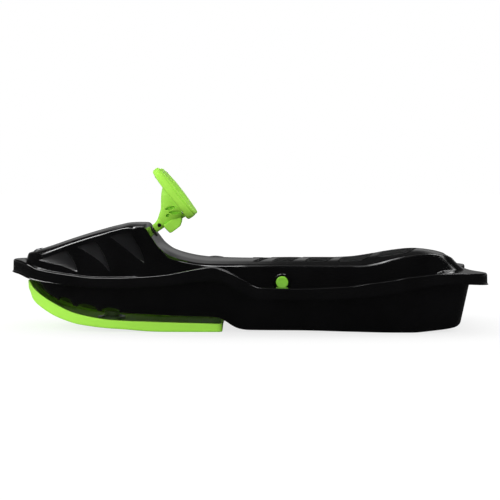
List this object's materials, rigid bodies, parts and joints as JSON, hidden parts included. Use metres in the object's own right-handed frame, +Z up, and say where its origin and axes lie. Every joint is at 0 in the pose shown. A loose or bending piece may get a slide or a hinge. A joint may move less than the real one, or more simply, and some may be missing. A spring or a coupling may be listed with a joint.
{
  "type": "steering sled",
  "caption": "Moulded plastic child's sled with a steering wheel linked to a turning front ski, a raised seat, leg wells beside it and a pull ring on the nose.",
  "frame": {"origin": "middle of the sled's bounding box, on the plane it stands on", "axes": "nose towards -X, rider's left towards -Y, +Z up"},
  "size_m": [1.07, 0.4702, 0.3645],
  "materials": {
    "black_plastic": "glossy moulded plastic",
    "green_plastic": "satin moulded plastic",
    "dark_nylon": "satin nylon",
    "white_nylon": "natural nylon",
    "zinc_steel": "bright zinc",
    "column_steel": "blackened steel"
  },
  "bodies": {
    "hull": {"lower_hull": "black_plastic", "upper_deck": "black_plastic", "column_guide": "dark_nylon", "kingpin_housing": "dark_nylon", "kingpin_bush_lower": "white_nylon", "kingpin_bush_upper": "white_nylon", "side_cap_near": "green_plastic", "side_cap_far": "green_plastic", "tie_rod": "zinc_steel", "tie_nut_near": "zinc_steel", "tie_nut_far": "zinc_steel", "rim_screw_01": "zinc_steel", "rim_screw_02": "zinc_steel", "rim_screw_03": "zinc_steel", "rim_screw_04": "zinc_steel", "rim_screw_05": "zinc_steel", "rim_screw_06": "zinc_steel", "rim_screw_07": "zinc_steel", "rim_screw_08": "zinc_steel", "rim_screw_09": "zinc_steel", "rim_screw_10": "zinc_steel", "housing_bolt_1": "zinc_steel", "housing_bolt_2": "zinc_steel", "housing_bolt_3": "zinc_steel", "housing_bolt_4": "zinc_steel"},
    "steering": {"steering_column": "column_steel", "column_washer": "white_nylon", "column_crank": "zinc_steel", "crank_pin": "zinc_steel", "wheel_shell": "green_plastic", "wheel_cover": "green_plastic", "cover_screw_1": "zinc_steel", "cover_screw_2": "zinc_steel", "cover_screw_3": "zinc_steel", "cover_screw_4": "zinc_steel", "wheel_bolt": "column_steel", "wheel_nut": "column_steel"},
    "ski": {"front_ski": "green_plastic", "kingpin": "zinc_steel", "ski_bolt_1": "zinc_steel", "ski_bolt_2": "zinc_steel", "ski_bolt_3": "zinc_steel", "ski_bolt_4": "zinc_steel", "steering_arm": "zinc_steel", "arm_washer": "zinc_steel", "arm_nut": "zinc_steel"},
    "pull_ring": {"tow_ring": "zinc_steel"}
  },
  "joints": [
    {"name": "ski_turn", "type": "hinge", "parent": "hull", "child": "ski", "pos_m": [-0.30537, 0, 0.06], "axis": [0, 0, 1], "range_deg": [-14, 14]},
    {"name": "steering_turn", "type": "hinge", "parent": "hull", "child": "steering", "pos_m": [-0.2055, 0, 0.223], "axis": [0.7986, 0, 0.6018], "range_deg": [-21.5, 21.5]},
    {"name": "pull_ring_swing", "type": "hinge", "parent": "hull", "child": "pull_ring", "pos_m": [-0.4729, 0, 0.1672], "axis": [0.9084, 0, 0.4181], "range_deg": [-20, 20]}
  ],
  "couplings": [
    {"joint": "steering_turn", "follows": "ski_turn", "ratio": 1.5}
  ]
}
